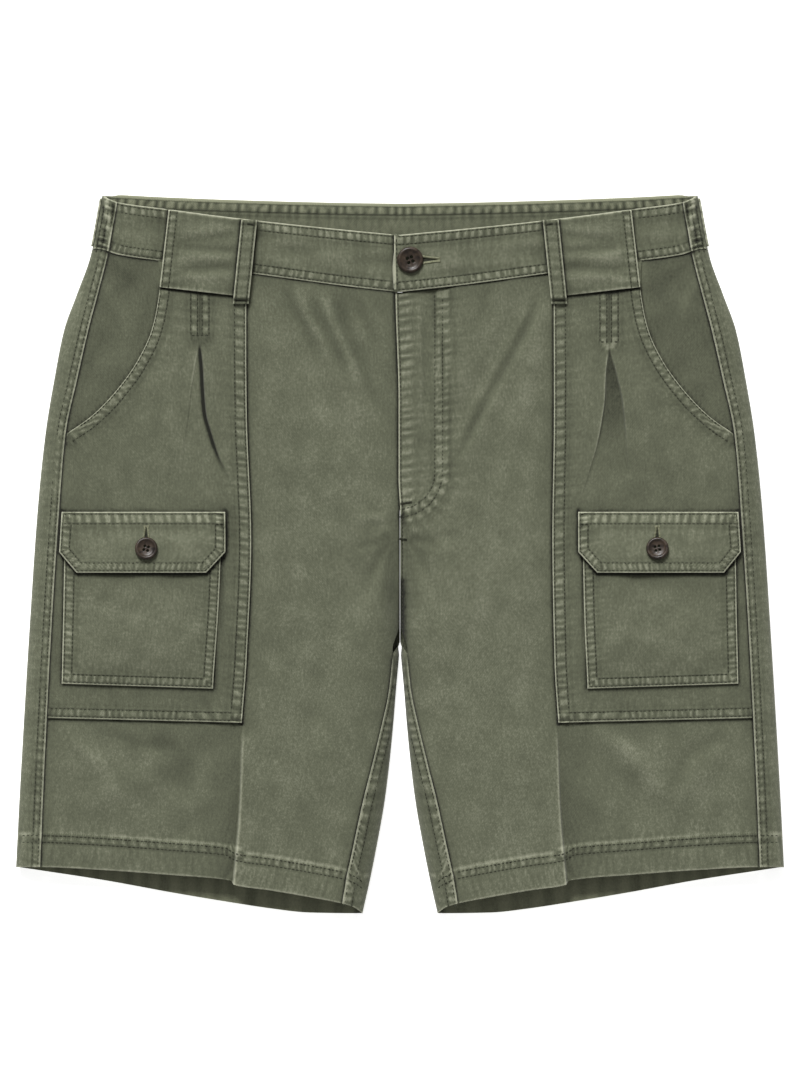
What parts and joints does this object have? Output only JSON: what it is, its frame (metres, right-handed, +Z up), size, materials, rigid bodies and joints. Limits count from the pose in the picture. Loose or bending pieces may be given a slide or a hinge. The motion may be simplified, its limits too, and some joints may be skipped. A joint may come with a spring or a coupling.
{
  "type": "cargo shorts",
  "caption": "Knee-length cotton twill cargo shorts laid flat, open at the waist and hems, with pleated thigh patches, flapped cargo pockets and belt tabs.",
  "frame": {"origin": "on the surface that the shorts lie on, under the middle of their box", "axes": "+X across the shorts towards the wearer's left side as seen from the front, +Y along them towards the waist, +Z up off the surface; the front faces +Z"},
  "size_m": [0.5522, 0.5165, 0.0323],
  "materials": {
    "twill": "olive green garment-washed cotton twill, matt, worn paler along its folded edges",
    "buttons": "dark brown four-hole resin, half matt"
  },
  "bodies": {
    "root": {"back_left": "twill", "back_right": "twill", "front_left": "twill", "front_right": "twill", "patch_left": "twill", "patch_right": "twill", "cargo_pocket_left": "twill", "cargo_pocket_right": "twill", "flap_left": "twill", "flap_right": "twill", "waistband_back": "twill", "waistband_front_left": "twill", "waistband_front_right": "twill", "belt_tab_left": "twill", "belt_tab_right": "twill", "belt_loop_front_left": "twill", "belt_loop_front_right": "twill", "belt_loop_side_left": "twill", "belt_loop_side_right": "twill", "belt_loop_back_centre": "twill", "button_waist": "buttons", "button_flap_left": "buttons", "button_flap_right": "buttons"}
  },
  "joints": []
}
